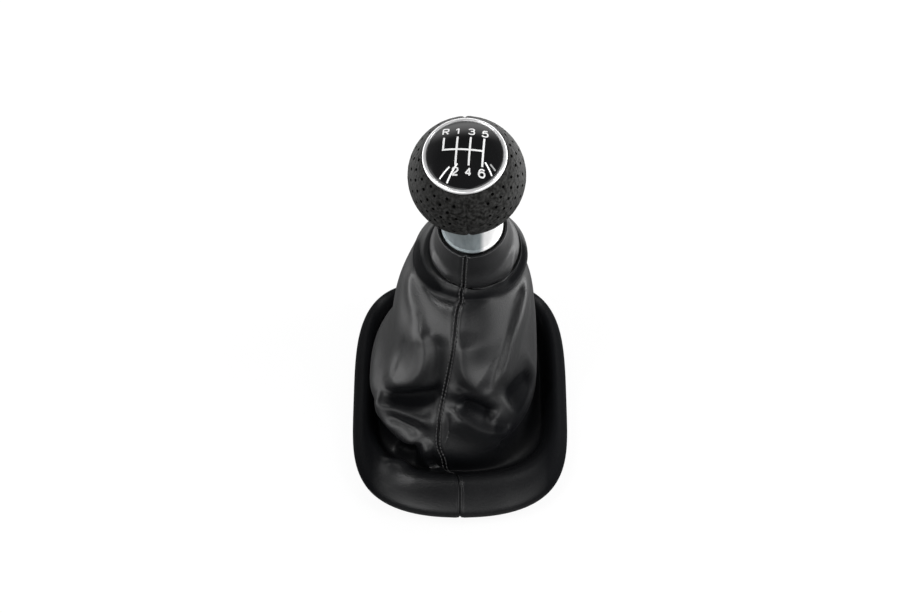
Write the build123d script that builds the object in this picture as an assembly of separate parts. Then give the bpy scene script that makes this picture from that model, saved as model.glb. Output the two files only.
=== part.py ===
"""Gear shift knob with its leather gaiter and base frame, in millimetres, +Z up, driver on the -Y side."""
import math
import os

from build123d import *

# Fits and walls
fit = 0.15
skin_gap = 0.3
leather = 1.2
seam_gap = 0.4

# Knob pose: the ball's centre, and how far the lever axis leans to the driver and to the left
knob_right = 3.0
knob_forward = 6.0
knob_height = 175.0
lean_to_driver = 11.75
lean_to_left = 3.0

# Ball and its leather cover
ball_radius = 26.0
cover_thickness = 1.4
cover_beyond_bezel = 0.31
cover_beyond_neck = 0.97
core_rim_drop = 1.0

# Bezel ring round the cap
bezel_radius = 18.45
bezel_width = 1.75
bezel_height = 1.5
bezel_skirt_wall = 0.9
bezel_skirt_depth = 4.2
bezel_ledge = 0.6
bezel_bevel = 0.7

# Shift pattern cap
cap_dome_radius = 32.0
cap_edge = 0.4
cap_wall = 1.6
cap_skirt_depth = 2.6
cap_slot_width = 3.0
cap_slot_count = 4

# Neck collar
neck_radius = 13.2
neck_wall = 2.0
neck_bottom = -60.0
neck_bead_level = -49.0
neck_bead_size = 1.0
tie_seat_depth = 0.8

# Lever socket, its centring bands and its clamp
lever_radius = 6.0
socket_wall = 3.5
socket_top = 0.0
socket_floor = 22.0
socket_bottom = -80.0
band_height = 3.0
band_inset = 2.0
slot_width = 1.2
slot_length = 18.0
clamp_wall = 1.6
clamp_width = 8.0
clamp_above_end = 2.0
clamp_ear_width = 5.0
clamp_ear_height = 2.6

# Gaiter tie, between the collar and the cuff
tie_top = -53.0
tie_height = 4.0

# Base frame: outline, rim and the hooks that snap into the console
frame_half_width = 52.5
frame_half_length = 68.0
frame_widest = -5.0
front_powers = (2.3, 4.0)
rear_powers = (3.7, 3.7)
hook_drop = 7.0
rim_height = 14.5
crest_side = 7.5
crest_front = 14.5
crest_rear = 9.0
frame_wall = 2.2
frame_lip = 2.0
hook_width = 11.0
hook_thickness = 2.4
hook_barb = 1.6
hook_barb_height = 4.0
hook_tip_ease = 1.0
hook_root = 4.5
hook_set_back = 0.4
hook_turns = (0, 62, 122, 180, 238, 298)

# How the rim rounds over: the hem's tuck, and the wall, brow and cheek as shares of the rim and the crest
hem_tuck = 0.5
wall_level = 0.25
brow_level = 0.6
brow_side = 0.16
brow_front = 0.24
cheek_level = 0.86
cheek_side = 0.48
cheek_front = 0.56
crest_seam = -1.0

# Gaiter: valley behind the crest, body, shoulder and cuff
valley_depth = 9.0
valley_side = 5.0
valley_front = 9.5
valley_rear = 5.0
cuff_top = -50.0
cuff_crease = -75.0
cuff_foot = 2.5
cuff_steps = (0.5, 1.0)
lip_radius = 16.3
cuff_radius = 20.4
crease_radius = 19.6
shoulder_radius = 26.2
shoulder_front = 21.0
shoulder_drop = 4.5
shoulder_left = 2.4
shoulder_seam = -5.0
lip_seam = -3.0

# The shoulder's roll into the crease: shares of its drop, of its width and of its front
shoulder_steps = (
    (1.0, 1.0, 1.0),
    (0.2, 0.56, 0.6),
    (-0.1, 0.36, 0.0),
)

# Steps down into the valley: shares of its depth, sides and front, and the seam's place across
valley_steps = (
    (0.25, 0.6, 0.5, -2.5),
    (1.0, 1.15, 1.0, -6.0),
)

# Rings across the body of the gaiter: height, left, right, front, rear, the widest place along,
# and the seam's place across
body_rings = (
    (19.0, 39.4, 36.4, 43.0, 50.0, 3.0, -8.0),
    (25.0, 42.0, 36.6, 41.5, 51.5, 0.0, -10.0),
    (32.0, 43.8, 36.8, 38.5, 52.0, -4.0, -10.5),
    (39.0, 39.8, 37.0, 35.5, 52.0, -4.0, -10.0),
    (47.0, 35.2, 37.0, 31.5, 52.0, 0.0, -9.0),
    (57.0, 33.0, 36.6, 26.5, 51.5, 8.0, -7.0),
    (68.0, 31.2, 35.6, 20.5, 51.0, 13.0, -4.5),
    (80.0, 27.0, 33.0, 13.5, 50.5, 18.0, -2.6),
    (90.0, 22.6, 30.0, 5.5, 50.0, 22.0, -1.0),
)
body_front_power = 1.95
body_rear_power = 2.5

# Folds pressed into the body: panel side, share of the way round from the front seam, height,
# reach round the body, reach up and down, climb along the fold, and the push out of the body
folds = (
    (-1, 0.20, 63.0, 0.07, 13.0, 0.0, 3.5),
    (-1, 0.34, 47.0, 0.10, 9.0, 0.0, 2.0),
    (-1, 0.17, 47.0, 0.14, 6.0, -46.0, -4.0),
    (-1, 0.22, 36.0, 0.14, 4.5, -30.0, 2.2),
    (-1, 0.20, 26.0, 0.08, 4.0, 40.0, 2.5),
    (-1, 0.09, 62.0, 0.05, 14.0, 0.0, -2.4),
    (1, 0.11, 68.0, 0.09, 13.0, 0.0, 3.0),
    (1, 0.12, 47.0, 0.11, 5.0, -20.0, -4.0),
    (1, 0.11, 39.0, 0.12, 5.0, -40.0, 3.5),
    (1, 0.30, 72.0, 0.14, 7.0, 120.0, 2.2),
    (1, 0.31, 45.0, 0.08, 9.0, 0.0, -2.0),
)
seam_calm = 0.07

columns = 17

# Worked out sizes
core_radius = ball_radius - cover_thickness - fit
cover_top = math.sqrt(ball_radius**2 - (bezel_radius + cover_beyond_bezel) ** 2)
cover_bottom = -math.sqrt(ball_radius**2 - (neck_radius + cover_beyond_neck) ** 2)
socket_radius = lever_radius + socket_wall
neck_bore = neck_radius - neck_wall
neck_top = cover_bottom - fit
tie_seat_radius = neck_radius - tie_seat_depth
cap_seat = cover_top + fit + bezel_ledge
cap_radius = bezel_radius - bezel_width - fit
skirt_outer = cap_radius
skirt_inner = skirt_outer - bezel_skirt_wall
recess_floor = cover_top - bezel_skirt_depth
rim_bottom = hook_drop
rim_top = rim_bottom + rim_height


def knob_location():
    back = math.sin(math.radians(lean_to_driver))
    side = math.sin(math.radians(lean_to_left))
    axis = Vector(-side, -back, math.sqrt(1 - back * back - side * side))
    across = Vector(0, 1, 0).cross(axis).normalized()
    centre = Vector(knob_right, knob_forward, knob_height)
    return Plane(origin=centre, x_dir=across, z_dir=axis).location


knob = knob_location()


def turned(*profile):
    """A body of revolution about the lever axis from (radius, level) corners."""
    face = make_face(Polyline(*[(r, 0, z) for r, z in profile], close=True))
    return revolve(face, Axis.Z)


def ball(radius, low, high):
    """A ball trimmed flat at two levels."""
    tall = high - low
    trim = Pos(0, 0, low) * Cylinder(2 * radius, tall, align=(Align.CENTER, Align.CENTER, Align.MIN))
    return Sphere(radius) & trim


def drum(radius, low, high):
    """A plain cylinder between two levels on the lever axis."""
    base = (Align.CENTER, Align.CENTER, Align.MIN)
    return Pos(0, 0, low) * Cylinder(radius, high - low, align=base)


def make_core():
    core = ball(core_radius, cover_bottom + fit, cover_top - core_rim_drop)
    core -= drum(skirt_outer + fit, recess_floor - fit, cover_top)
    core -= drum(socket_radius + fit, cover_bottom, socket_top + fit)
    return core


def make_covers():
    shell = ball(ball_radius, cover_bottom, cover_top) - Sphere(ball_radius - cover_thickness)
    halves = []
    for side in (-1, 1):
        reach = 2 * ball_radius
        half = Pos(side * (seam_gap / 2 + reach / 2), 0, 0) * Box(reach, 2 * reach, 2 * reach)
        halves.append(shell & half)
    return halves


def make_bezel():
    seat = cover_top + fit
    top = seat + bezel_height
    inner = bezel_radius - bezel_width
    return turned(
        (skirt_inner, recess_floor),
        (skirt_outer, recess_floor),
        (skirt_outer, seat),
        (bezel_radius, seat),
        (bezel_radius, top - bezel_bevel),
        (bezel_radius - bezel_bevel, top),
        (inner, top),
        (inner, seat + bezel_ledge),
        (skirt_inner, seat + bezel_ledge),
    )


def make_cap():
    rim = cap_seat + fit + cap_edge
    dome_centre = rim - math.sqrt(cap_dome_radius**2 - cap_radius**2)
    dome_top = dome_centre + cap_dome_radius
    skirt = skirt_inner - fit
    cap = Pos(0, 0, dome_centre) * Sphere(cap_dome_radius) & drum(cap_radius, cap_seat + fit, dome_top)
    cap += drum(skirt, cap_seat - cap_skirt_depth, rim)
    hollow = Pos(0, 0, dome_centre) * Sphere(cap_dome_radius - cap_wall)
    cap -= hollow & drum(skirt - cap_wall, recess_floor, dome_top)
    slot_centre = cap_seat - fit - cap_wall - cap_skirt_depth
    slot = Box(3 * cap_wall, cap_slot_width, 2 * cap_skirt_depth)
    for turn in range(cap_slot_count):
        cap -= Rot(0, 0, 360 / cap_slot_count * (turn + 0.5)) * Pos(skirt, 0, slot_centre) * slot
    return cap


def make_neck():
    shelf = neck_bead_level - neck_bead_size
    crest = neck_radius + neck_bead_size
    return turned(
        (neck_bore, neck_bottom),
        (tie_seat_radius, neck_bottom),
        (tie_seat_radius, shelf),
        (neck_radius, shelf),
        (crest, neck_bead_level - neck_bead_size / 3),
        (crest, neck_bead_level + neck_bead_size / 3),
        (neck_radius, neck_bead_level + neck_bead_size),
        (neck_radius, neck_top),
        (neck_bore, neck_top),
    )


def make_socket():
    socket = drum(socket_radius, socket_bottom, socket_top)
    for low in (neck_bottom + band_inset, neck_top - band_inset - band_height):
        socket += drum(neck_bore - fit, low, low + band_height)
    socket -= drum(lever_radius, socket_bottom, socket_top - socket_floor)
    upright = (Align.CENTER, Align.CENTER, Align.MIN)
    slot = Box(2 * socket_radius + slot_width, slot_width, slot_length, align=upright)
    return socket - Pos(0, 0, socket_bottom) * slot


def make_clamp():
    low = socket_bottom + clamp_above_end
    inner = socket_radius + fit
    band = drum(inner + clamp_wall, low, low + clamp_width)
    ear_reach = clamp_wall + clamp_ear_height
    ear = Box(clamp_ear_width, ear_reach, clamp_width, align=(Align.CENTER, Align.MIN, Align.MIN))
    band += Pos(0, inner, low) * ear
    return band - drum(inner, low, low + clamp_width)


def make_tie():
    outer = cuff_outer_radius(tie_top) - leather - skin_gap
    low = tie_top - tie_height
    return drum(outer, low, tie_top) - drum(tie_seat_radius + fit, low, tie_top)


def cuff_outer_radius(level):
    """The cuff's straight flare, from its lip to its foot."""
    down = (cuff_top - level) / (cuff_top - cuff_crease)
    return lip_radius + (cuff_radius - lip_radius) * down


def flat_ring(height, left, right, front, rear, powers, seam=0.0, widest=0.0):
    """A level ring: how far it reaches each way from the middle, and how square its ends are."""
    return dict(
        centre=Vector(0, widest, height),
        across=Vector(1, 0, 0),
        along=Vector(0, 1, 0),
        left=left,
        right=right,
        front=front + widest,
        rear=rear - widest,
        powers=powers,
        seam=seam,
    )


def rim_ring(height, side, front, rear, seam=0.0):
    """A ring set in from the frame's outline."""
    half = frame_half_width - side
    ends = (front_powers, rear_powers)
    return flat_ring(
        height, half, half, frame_half_length - front, frame_half_length - rear, ends, seam, frame_widest
    )


def knob_ring(level, radius, sideways=0.0, front=None):
    """A ring square to the lever axis, round or shallower to the front."""
    up = max(0.0, (level - cuff_crease) / (cuff_top - cuff_crease))
    plane = Plane(knob)
    round_end = (2.0, 2.0)
    return dict(
        centre=(knob * Pos(sideways, 0, level)).position,
        across=plane.x_dir,
        along=plane.y_dir,
        left=radius,
        right=radius,
        front=front or radius,
        rear=radius,
        powers=(round_end, round_end),
        seam=shoulder_seam + (lip_seam - shoulder_seam) * up,
    )


def ring_corner(ring, turn):
    """The point of a ring at an angle from its front, positive to the right."""
    sine = math.sin(turn)
    cosine = math.cos(turn)
    in_front = cosine > 0
    power = ring["powers"][0] if in_front else ring["powers"][1]
    side = ring["right"] if sine > 0 else -ring["left"]
    end = -ring["front"] if in_front else ring["rear"]
    return side * abs(sine) ** (2 / power[0]), end * abs(cosine) ** (2 / power[1])


def ring_point(ring, corners, walk, place):
    """The point a given way along a ring, and the level direction out of the ring there."""
    step = 1
    while step < len(walk) - 1 and walk[step] < place:
        step += 1
    before = Vector(*corners[step - 1])
    after = Vector(*corners[step])
    share = (place - walk[step - 1]) / (walk[step] - walk[step - 1])
    spot = before + (after - before) * share
    run = (after - before).normalized()
    point = ring["centre"] + ring["across"] * spot.X + ring["along"] * spot.Y
    return point, ring["across"] * run.Y - ring["along"] * run.X


def ring_row(ring, side, fold_depth):
    """Points along one side of a ring, evenly spaced from the front seam to the rear seam."""
    steps = 120
    corners = [ring_corner(ring, math.pi * (2 * step / steps - 1)) for step in range(steps + 1)]
    walk = [0.0]
    for before, after in zip(corners, corners[1:]):
        walk.append(walk[-1] + math.dist(before, after))
    start = walk[steps // 2] + ring["seam"] + side * seam_gap / 2
    end = (walk[-1] if side > 0 else 0.0) - side * seam_gap / 2
    row = []
    for column in range(columns):
        share = column / (columns - 1)
        point, out = ring_point(ring, corners, walk, start + (end - start) * share)
        row.append(point + out * fold_depth(side, share, point.Z))
    return row


def fold_depth(side, share, height):
    """How far the folds push the body of the gaiter out at a place on it, dying out at the front seam."""
    depth = 0.0
    for fold_side, place, level, reach, rise, climb, push in folds:
        if fold_side == side:
            along = (share - place) / reach
            up = (height - level - climb * (share - place)) / rise
            depth += push * math.exp(-along * along - up * up)
    return depth * (1 - math.exp(-((share / seam_calm) ** 2)))


def no_folds(side, share, height):
    return 0.0


def rim_rows():
    """Rings of the gaiter over the rim, from its hem to the bottom of the valley behind the crest."""
    rings = [
        rim_ring(rim_bottom, hem_tuck, hem_tuck, hem_tuck),
        rim_ring(rim_bottom + wall_level * rim_height, 0.0, 0.0, 0.0),
        rim_ring(
            rim_bottom + brow_level * rim_height,
            brow_side * crest_side,
            brow_front * crest_front,
            brow_side * crest_rear,
        ),
        rim_ring(
            rim_bottom + cheek_level * rim_height,
            cheek_side * crest_side,
            cheek_front * crest_front,
            cheek_side * crest_rear,
        ),
        rim_ring(rim_top, crest_side, crest_front, crest_rear, crest_seam),
    ]
    for drop, aside, ahead, seam in valley_steps:
        side = crest_side + aside * valley_side
        front = crest_front + ahead * valley_front
        rear = crest_rear + aside * valley_rear
        rings.append(rim_ring(rim_top - drop * valley_depth, side, front, rear, seam))
    return rings


def body_rows():
    """Rings of the gaiter's body, up to the shoulder."""
    powers = ((body_front_power, body_front_power), (body_rear_power, body_rear_power))
    rings = []
    for height, left, right, front, rear, widest, seam in body_rings:
        rings.append(flat_ring(height, left, right, front, rear, powers, seam, widest))
    return rings


def cuff_rows():
    """Rings of the gaiter round the lever, from its shoulder through the crease to the lip."""
    roll = shoulder_radius - crease_radius
    roll_front = shoulder_front - crease_radius
    rings = []
    for drop, out, ahead in shoulder_steps:
        radius = crease_radius + out * roll
        front = crease_radius + ahead * roll_front
        rings.append(knob_ring(cuff_crease - drop * shoulder_drop, radius, -ahead * shoulder_left, front))
    rings.append(knob_ring(cuff_crease, crease_radius))
    rings.append(knob_ring(cuff_crease + cuff_foot, cuff_radius))
    for share in cuff_steps:
        level = cuff_crease + share * (cuff_top - cuff_crease)
        rings.append(knob_ring(level, cuff_outer_radius(level)))
    return rings


def gaiter_rows(side):
    """Rows of points over one gaiter panel, from its hem on the frame to its lip round the neck."""
    rows = [ring_row(ring, side, no_folds) for ring in rim_rows()]
    rows += [ring_row(ring, side, fold_depth) for ring in body_rows()]
    return rows + [ring_row(ring, side, no_folds) for ring in cuff_rows()]


def inner_rows(rows, side):
    """The same rows one leather thickness inside, along the normals of the skin."""
    inner = []
    last = len(rows) - 1
    for level, row in enumerate(rows):
        inner_row = []
        for column, point in enumerate(row):
            run = row[min(column + 1, columns - 1)] - row[max(column - 1, 0)]
            rise = rows[min(level + 1, last)][column] - rows[max(level - 1, 0)][column]
            normal = run.cross(rise).normalized() * side
            if level in (0, last):
                plane_normal = Vector(0, 0, 1) if level == 0 else Plane(knob).z_dir
                normal = (normal - plane_normal * normal.dot(plane_normal)).normalized()
            inner_row.append(point - normal * leather)
        inner.append(inner_row)
    return inner


def make_panel(side):
    """One leather panel, skinned band by band between its rows."""
    outer = gaiter_rows(side)
    inner = inner_rows(outer, side)
    ribs = [[Spline(*row).edge() for row in rows] for rows in (outer, inner)]
    for end in (0, -1):
        ribs.append([Line(out[end], within[end]).edge() for out, within in zip(outer, inner)])
    faces = []
    for rib in ribs:
        faces += [Face.make_surface_from_curves(low, high) for low, high in zip(rib, rib[1:])]
    for end in (0, -1):
        faces.append(Face(Wire([rib[end] for rib in ribs])))
    return Solid(Shell(faces))


def closed_ring(ring, count=40):
    """A smooth closed wire round a level ring."""
    corners = [ring_corner(ring, 2 * math.pi * (step + 0.5) / count) for step in range(count)]
    points = [ring["centre"] + ring["across"] * x + ring["along"] * y for x, y in corners]
    return Wire([Spline(*points, periodic=True)])


def frame_block():
    """The rim under its leather, solid through."""
    inset = leather + skin_gap
    tuck = inset + hem_tuck
    levels = (
        rim_ring(rim_bottom, tuck, tuck, tuck),
        rim_ring(rim_bottom + wall_level * rim_height, tuck, tuck, tuck),
        rim_ring(
            rim_bottom + brow_level * rim_height - inset,
            inset + brow_side * crest_side,
            inset + brow_front * crest_front,
            inset + brow_side * crest_rear,
        ),
        rim_ring(
            rim_top - inset - frame_lip / 2,
            crest_side - frame_lip / 2,
            crest_front - frame_lip / 2,
            crest_rear - frame_lip / 2,
        ),
    )
    return Solid.make_loft([closed_ring(ring) for ring in levels], ruled=True)


def groove_block():
    """The hollow under the rim, between the frame's outer and inner walls."""
    inset = leather + skin_gap + frame_wall
    outer = rim_ring(
        rim_bottom,
        inset + brow_side * crest_side,
        inset + brow_front * crest_front,
        inset + brow_side * crest_rear,
    )
    depth = brow_level * rim_height - frame_wall
    return extrude(Face(closed_ring(outer)), depth, dir=(0, 0, 1)) - opening_block(frame_wall)


def opening_block(grow):
    """The hole through the frame, grown by a wall."""
    set_in = frame_lip / 2 - grow
    hole = rim_ring(-rim_height, crest_side + set_in, crest_front + set_in, crest_rear + set_in)
    return extrude(Face(closed_ring(hole)), rim_top + 2 * rim_height, dir=(0, 0, 1))


def make_hook(place):
    """A snap hook hanging from the frame's inner wall, its barb outwards."""
    spot, out = place
    root = rim_bottom + hook_root
    barb = hook_thickness + hook_barb
    profile = Polyline(
        (0, 0, 0),
        (hook_thickness - hook_tip_ease, 0, 0),
        (barb, 0, hook_barb_height - hook_tip_ease),
        (barb, 0, hook_barb_height),
        (hook_thickness, 0, hook_barb_height),
        (hook_thickness, 0, root),
        (0, 0, root),
        close=True,
    )
    tab = extrude(make_face(profile), hook_width / 2, dir=(0, 1, 0), both=True)
    return Plane(origin=(spot.X, spot.Y, 0), x_dir=out, z_dir=(0, 0, 1)).location * tab


def hook_places():
    """Where the hooks hang: one at each end and two on each side of the opening."""
    set_in = frame_lip / 2
    hole = rim_ring(0.0, crest_side + set_in, crest_front + set_in, crest_rear + set_in)
    places = []
    for turn in hook_turns:
        x, y = ring_corner(hole, math.radians(turn))
        near = [ring_corner(hole, math.radians(turn + step)) for step in (-1, 1)]
        run = Vector(*near[1]) - Vector(*near[0])
        out = Vector(run.Y, -run.X, 0).normalized()
        places.append((Vector(x, y + frame_widest, 0) + out * hook_set_back, out))
    return places


def make_frame():
    frame = frame_block() - opening_block(0.0) - groove_block()
    for place in hook_places():
        frame += make_hook(place)
    return frame


def build():
    left_cover, right_cover = make_covers()
    on_lever = {
        "pattern_cap": make_cap(),
        "bezel_ring": make_bezel(),
        "knob_core": make_core(),
        "knob_cover_left": left_cover,
        "knob_cover_right": right_cover,
        "neck_collar": make_neck(),
        "lever_socket": make_socket(),
        "lever_clamp": make_clamp(),
        "gaiter_tie": make_tie(),
    }
    pieces = {name: knob * shape for name, shape in on_lever.items()}
    pieces["gaiter_left_panel"] = make_panel(-1)
    pieces["gaiter_right_panel"] = make_panel(1)
    pieces["base_frame"] = make_frame()
    return pieces


if __name__ == "__main__":
    os.makedirs("parts", exist_ok=True)
    for name, piece in build().items():
        export_step(piece, f"parts/{name}.step")
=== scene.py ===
import math
import bpy
import numpy as np
from mathutils import Matrix, Vector


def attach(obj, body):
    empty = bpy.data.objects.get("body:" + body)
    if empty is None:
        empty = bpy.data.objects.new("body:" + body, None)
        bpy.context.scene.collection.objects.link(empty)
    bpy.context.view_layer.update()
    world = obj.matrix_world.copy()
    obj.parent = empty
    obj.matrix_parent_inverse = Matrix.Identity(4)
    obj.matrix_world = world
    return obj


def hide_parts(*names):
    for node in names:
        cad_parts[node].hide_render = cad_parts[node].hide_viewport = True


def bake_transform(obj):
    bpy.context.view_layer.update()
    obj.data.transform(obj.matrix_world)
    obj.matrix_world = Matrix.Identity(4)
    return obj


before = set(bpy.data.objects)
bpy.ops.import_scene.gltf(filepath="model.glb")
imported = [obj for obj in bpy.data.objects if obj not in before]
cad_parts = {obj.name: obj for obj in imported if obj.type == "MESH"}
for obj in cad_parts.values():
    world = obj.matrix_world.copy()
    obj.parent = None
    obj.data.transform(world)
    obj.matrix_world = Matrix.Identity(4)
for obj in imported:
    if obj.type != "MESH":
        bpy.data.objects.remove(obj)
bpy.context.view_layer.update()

mm = 0.001

knobPose = {"centre": (3.0, 6.0, 175.0), "toDriver": 11.75, "toLeft": 3.0}  # millimetres and degrees
cameraView = {"lens": 90.0, "sensor": 36.0, "elevation": 54.0, "distance": 1.095,
              "target": (0.0, 0.0115, 0.070), "picture": (920, 613)}


def knobAxes():
    back = math.sin(math.radians(knobPose["toDriver"]))
    side = math.sin(math.radians(knobPose["toLeft"]))
    up = np.array((-side, -back, math.sqrt(1 - back * back - side * side)))
    across = np.cross((0.0, 1.0, 0.0), up)
    across /= np.linalg.norm(across)
    return across, np.cross(up, across), up


knobAcross, knobAlong, knobUp = knobAxes()
knobCentre = np.array(knobPose["centre"])


def onKnob(points):  # knob's own millimetres to the frame's
    p = np.asarray(points, float)
    return knobCentre + p[..., :1] * knobAcross + p[..., 1:2] * knobAlong + p[..., 2:3] * knobUp


def setSockets(node, values):  # an output is linked, anything else is a fixed value
    for key, value in values.items():
        if isinstance(value, bpy.types.NodeSocket):
            node.id_data.links.new(value, node.inputs[key])
        else:
            node.inputs[key].default_value = value


def addNode(tree, kind, sockets=None, **settings):
    node = tree.nodes.new(kind)
    for key, value in settings.items():
        setattr(node, key, value)
    setSockets(node, sockets or {})
    return node


def newMaterial(name):
    material = bpy.data.materials.new(name)
    material.use_nodes = True
    tree = material.node_tree
    return material, tree, tree.nodes["Principled BSDF"]


def noiseNode(tree, vector, scale, detail=4.0, rough=0.5):
    sockets = {"Vector": vector, "Scale": scale, "Detail": detail, "Roughness": rough}
    return addNode(tree, "ShaderNodeTexNoise", sockets).outputs["Fac"]


def pebbleNode(tree, vector, scale, smooth):
    sockets = {"Vector": vector, "Scale": scale, "Smoothness": smooth}
    return addNode(tree, "ShaderNodeTexVoronoi", sockets, feature="SMOOTH_F1").outputs["Distance"]


def rangeNode(tree, value, low, high, newLow, newHigh, ramp="LINEAR"):
    sockets = {"Value": value, "From Min": low, "From Max": high, "To Min": newLow, "To Max": newHigh}
    return addNode(tree, "ShaderNodeMapRange", sockets, interpolation_type=ramp).outputs["Result"]


def toRoughness(tree, value, roughness):  # middle of a noise spread over a range of roughness
    return rangeNode(tree, value, 0.3, 0.7, *roughness)


def mixColour(tree, factor, first, second):
    ends = [c if isinstance(c, bpy.types.NodeSocket) else (*c, 1) for c in (first, second)]
    return addNode(tree, "ShaderNodeMix", {0: factor, 6: ends[0], 7: ends[1]}, data_type="RGBA").outputs[2]


def mixValue(tree, factor, first, second):
    return addNode(tree, "ShaderNodeMix", {0: factor, 2: first, 3: second}, data_type="FLOAT").outputs[0]


def mathNode(tree, operation, first, second):
    return addNode(tree, "ShaderNodeMath", {0: first, 1: second}, operation=operation).outputs[0]


def bumpChain(tree, *heights):  # each: height output, strength, distance in metres
    chain = {}
    for height, strength, distance in heights:
        chain.update({"Height": height, "Strength": strength, "Distance": distance})
        chain["Normal"] = addNode(tree, "ShaderNodeBump", chain).outputs["Normal"]
    return chain["Normal"]


def objectVector(tree, stretch=(1.0, 1.0, 1.0)):
    place = addNode(tree, "ShaderNodeTexCoord").outputs["Object"]
    return addNode(tree, "ShaderNodeMapping", {"Vector": place, "Scale": stretch}).outputs["Vector"]


def leatherMaterial(name, look):
    material, tree, shader = newMaterial(name)
    vector = objectVector(tree)
    cloud = rangeNode(tree, noiseNode(tree, vector, *look["cloud"]), *look["cloudRange"], 0.0, 1.0)
    grain = pebbleNode(tree, vector, *look["grain"])
    pores = noiseNode(tree, vector, *look["pores"])
    crease = noiseNode(tree, vector, *look["crease"])
    hollow = addNode(tree, "ShaderNodeAttribute", attribute_name="hollow").outputs["Fac"]
    setSockets(shader, {  # the attribute paints shade (weaker specular) and highlight (stronger specular) on the leather
        "Base Color": mixColour(tree, cloud, look["dark"], look["light"]),
        "Roughness": toRoughness(tree, cloud, look["roughness"]),
        "Specular IOR Level": rangeNode(tree, hollow, -1.0, 1.0, 2 * look["specular"], 0.0),
        "Normal": bumpChain(tree, (crease, *look["creaseBump"]), (grain, *look["grainBump"]),
                            (pores, *look["poreBump"]))})
    return material


def noisyMaterial(name, look):  # one noise steers colour, roughness and relief
    material, tree, shader = newMaterial(name)
    noise = noiseNode(tree, objectVector(tree, look.get("stretch", (1.0, 1.0, 1.0))), *look["noise"])
    colour = mixColour(tree, noise, look["dark"], look["light"])
    if "paintedHighlightSide" in look:  # painted highlight: one side of the piece mixed to white
        across = addNode(tree, "ShaderNodeSeparateXYZ", {0: objectVector(tree)}).outputs["X"]
        paintedHighlight = rangeNode(tree, across, *look["paintedHighlightSide"], 0.0, 1.0, "SMOOTHSTEP")
        colour = mixColour(tree, paintedHighlight, colour, (1, 1, 1))
    setSockets(shader, {"Base Color": colour, "Roughness": toRoughness(tree, noise, look["roughness"]),
                        "Normal": bumpChain(tree, (noise, *look["bump"])), **look.get("sockets", {})})
    return material


def threadMaterial(name, look):  # twisted thread
    material, tree, shader = newMaterial(name)
    sockets = {"Vector": objectVector(tree), "Scale": look["twistScale"], "Distortion": look["twistBend"]}
    twist = addNode(tree, "ShaderNodeTexWave", sockets, bands_direction="DIAGONAL").outputs["Fac"]
    setSockets(shader, {"Base Color": mixColour(tree, twist, look["dark"], look["light"]),
                        "Roughness": look["roughness"], "Specular IOR Level": look["specular"],
                        "Normal": bumpChain(tree, (twist, *look["bump"]))})
    return material


# noises: scale, detail, roughness; grain: scale, smoothness; bumps: strength, distance in metres
gaiterLook = {"dark": (0.0030, 0.0032, 0.0037), "light": (0.0062, 0.0065, 0.0073), "roughness": (0.33, 0.42),
              "specular": 0.6, "cloud": (30.0, 5.0), "cloudRange": (0.2, 0.8),
              "grain": (1500.0, 0.6), "grainBump": (0.15, 0.0004), "pores": (2600.0, 6.0, 0.6),
              "poreBump": (0.2, 0.0001), "crease": (90.0, 3.0, 0.45), "creaseBump": (0.12, 0.0012)}
ballLook = {"dark": (0.003, 0.003, 0.0026), "light": (0.036, 0.036, 0.035), "roughness": (0.5, 0.62),
            "specular": 0.1, "cloud": (700.0, 5.0), "cloudRange": (0.38, 0.66),
            "grain": (620.0, 0.6), "grainBump": (0.7, 0.0004), "pores": (1500.0, 6.0, 0.6),
            "poreBump": (0.6, 0.0001), "crease": (260.0, 3.0, 0.45), "creaseBump": (0.2, 0.0012)}
threadLook = {"dark": (0.02, 0.02, 0.021), "light": (0.075, 0.075, 0.076), "roughness": 0.5, "specular": 0.45,
              "twistScale": 900.0, "twistBend": 1.5, "bump": (0.4, 0.0001)}
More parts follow.
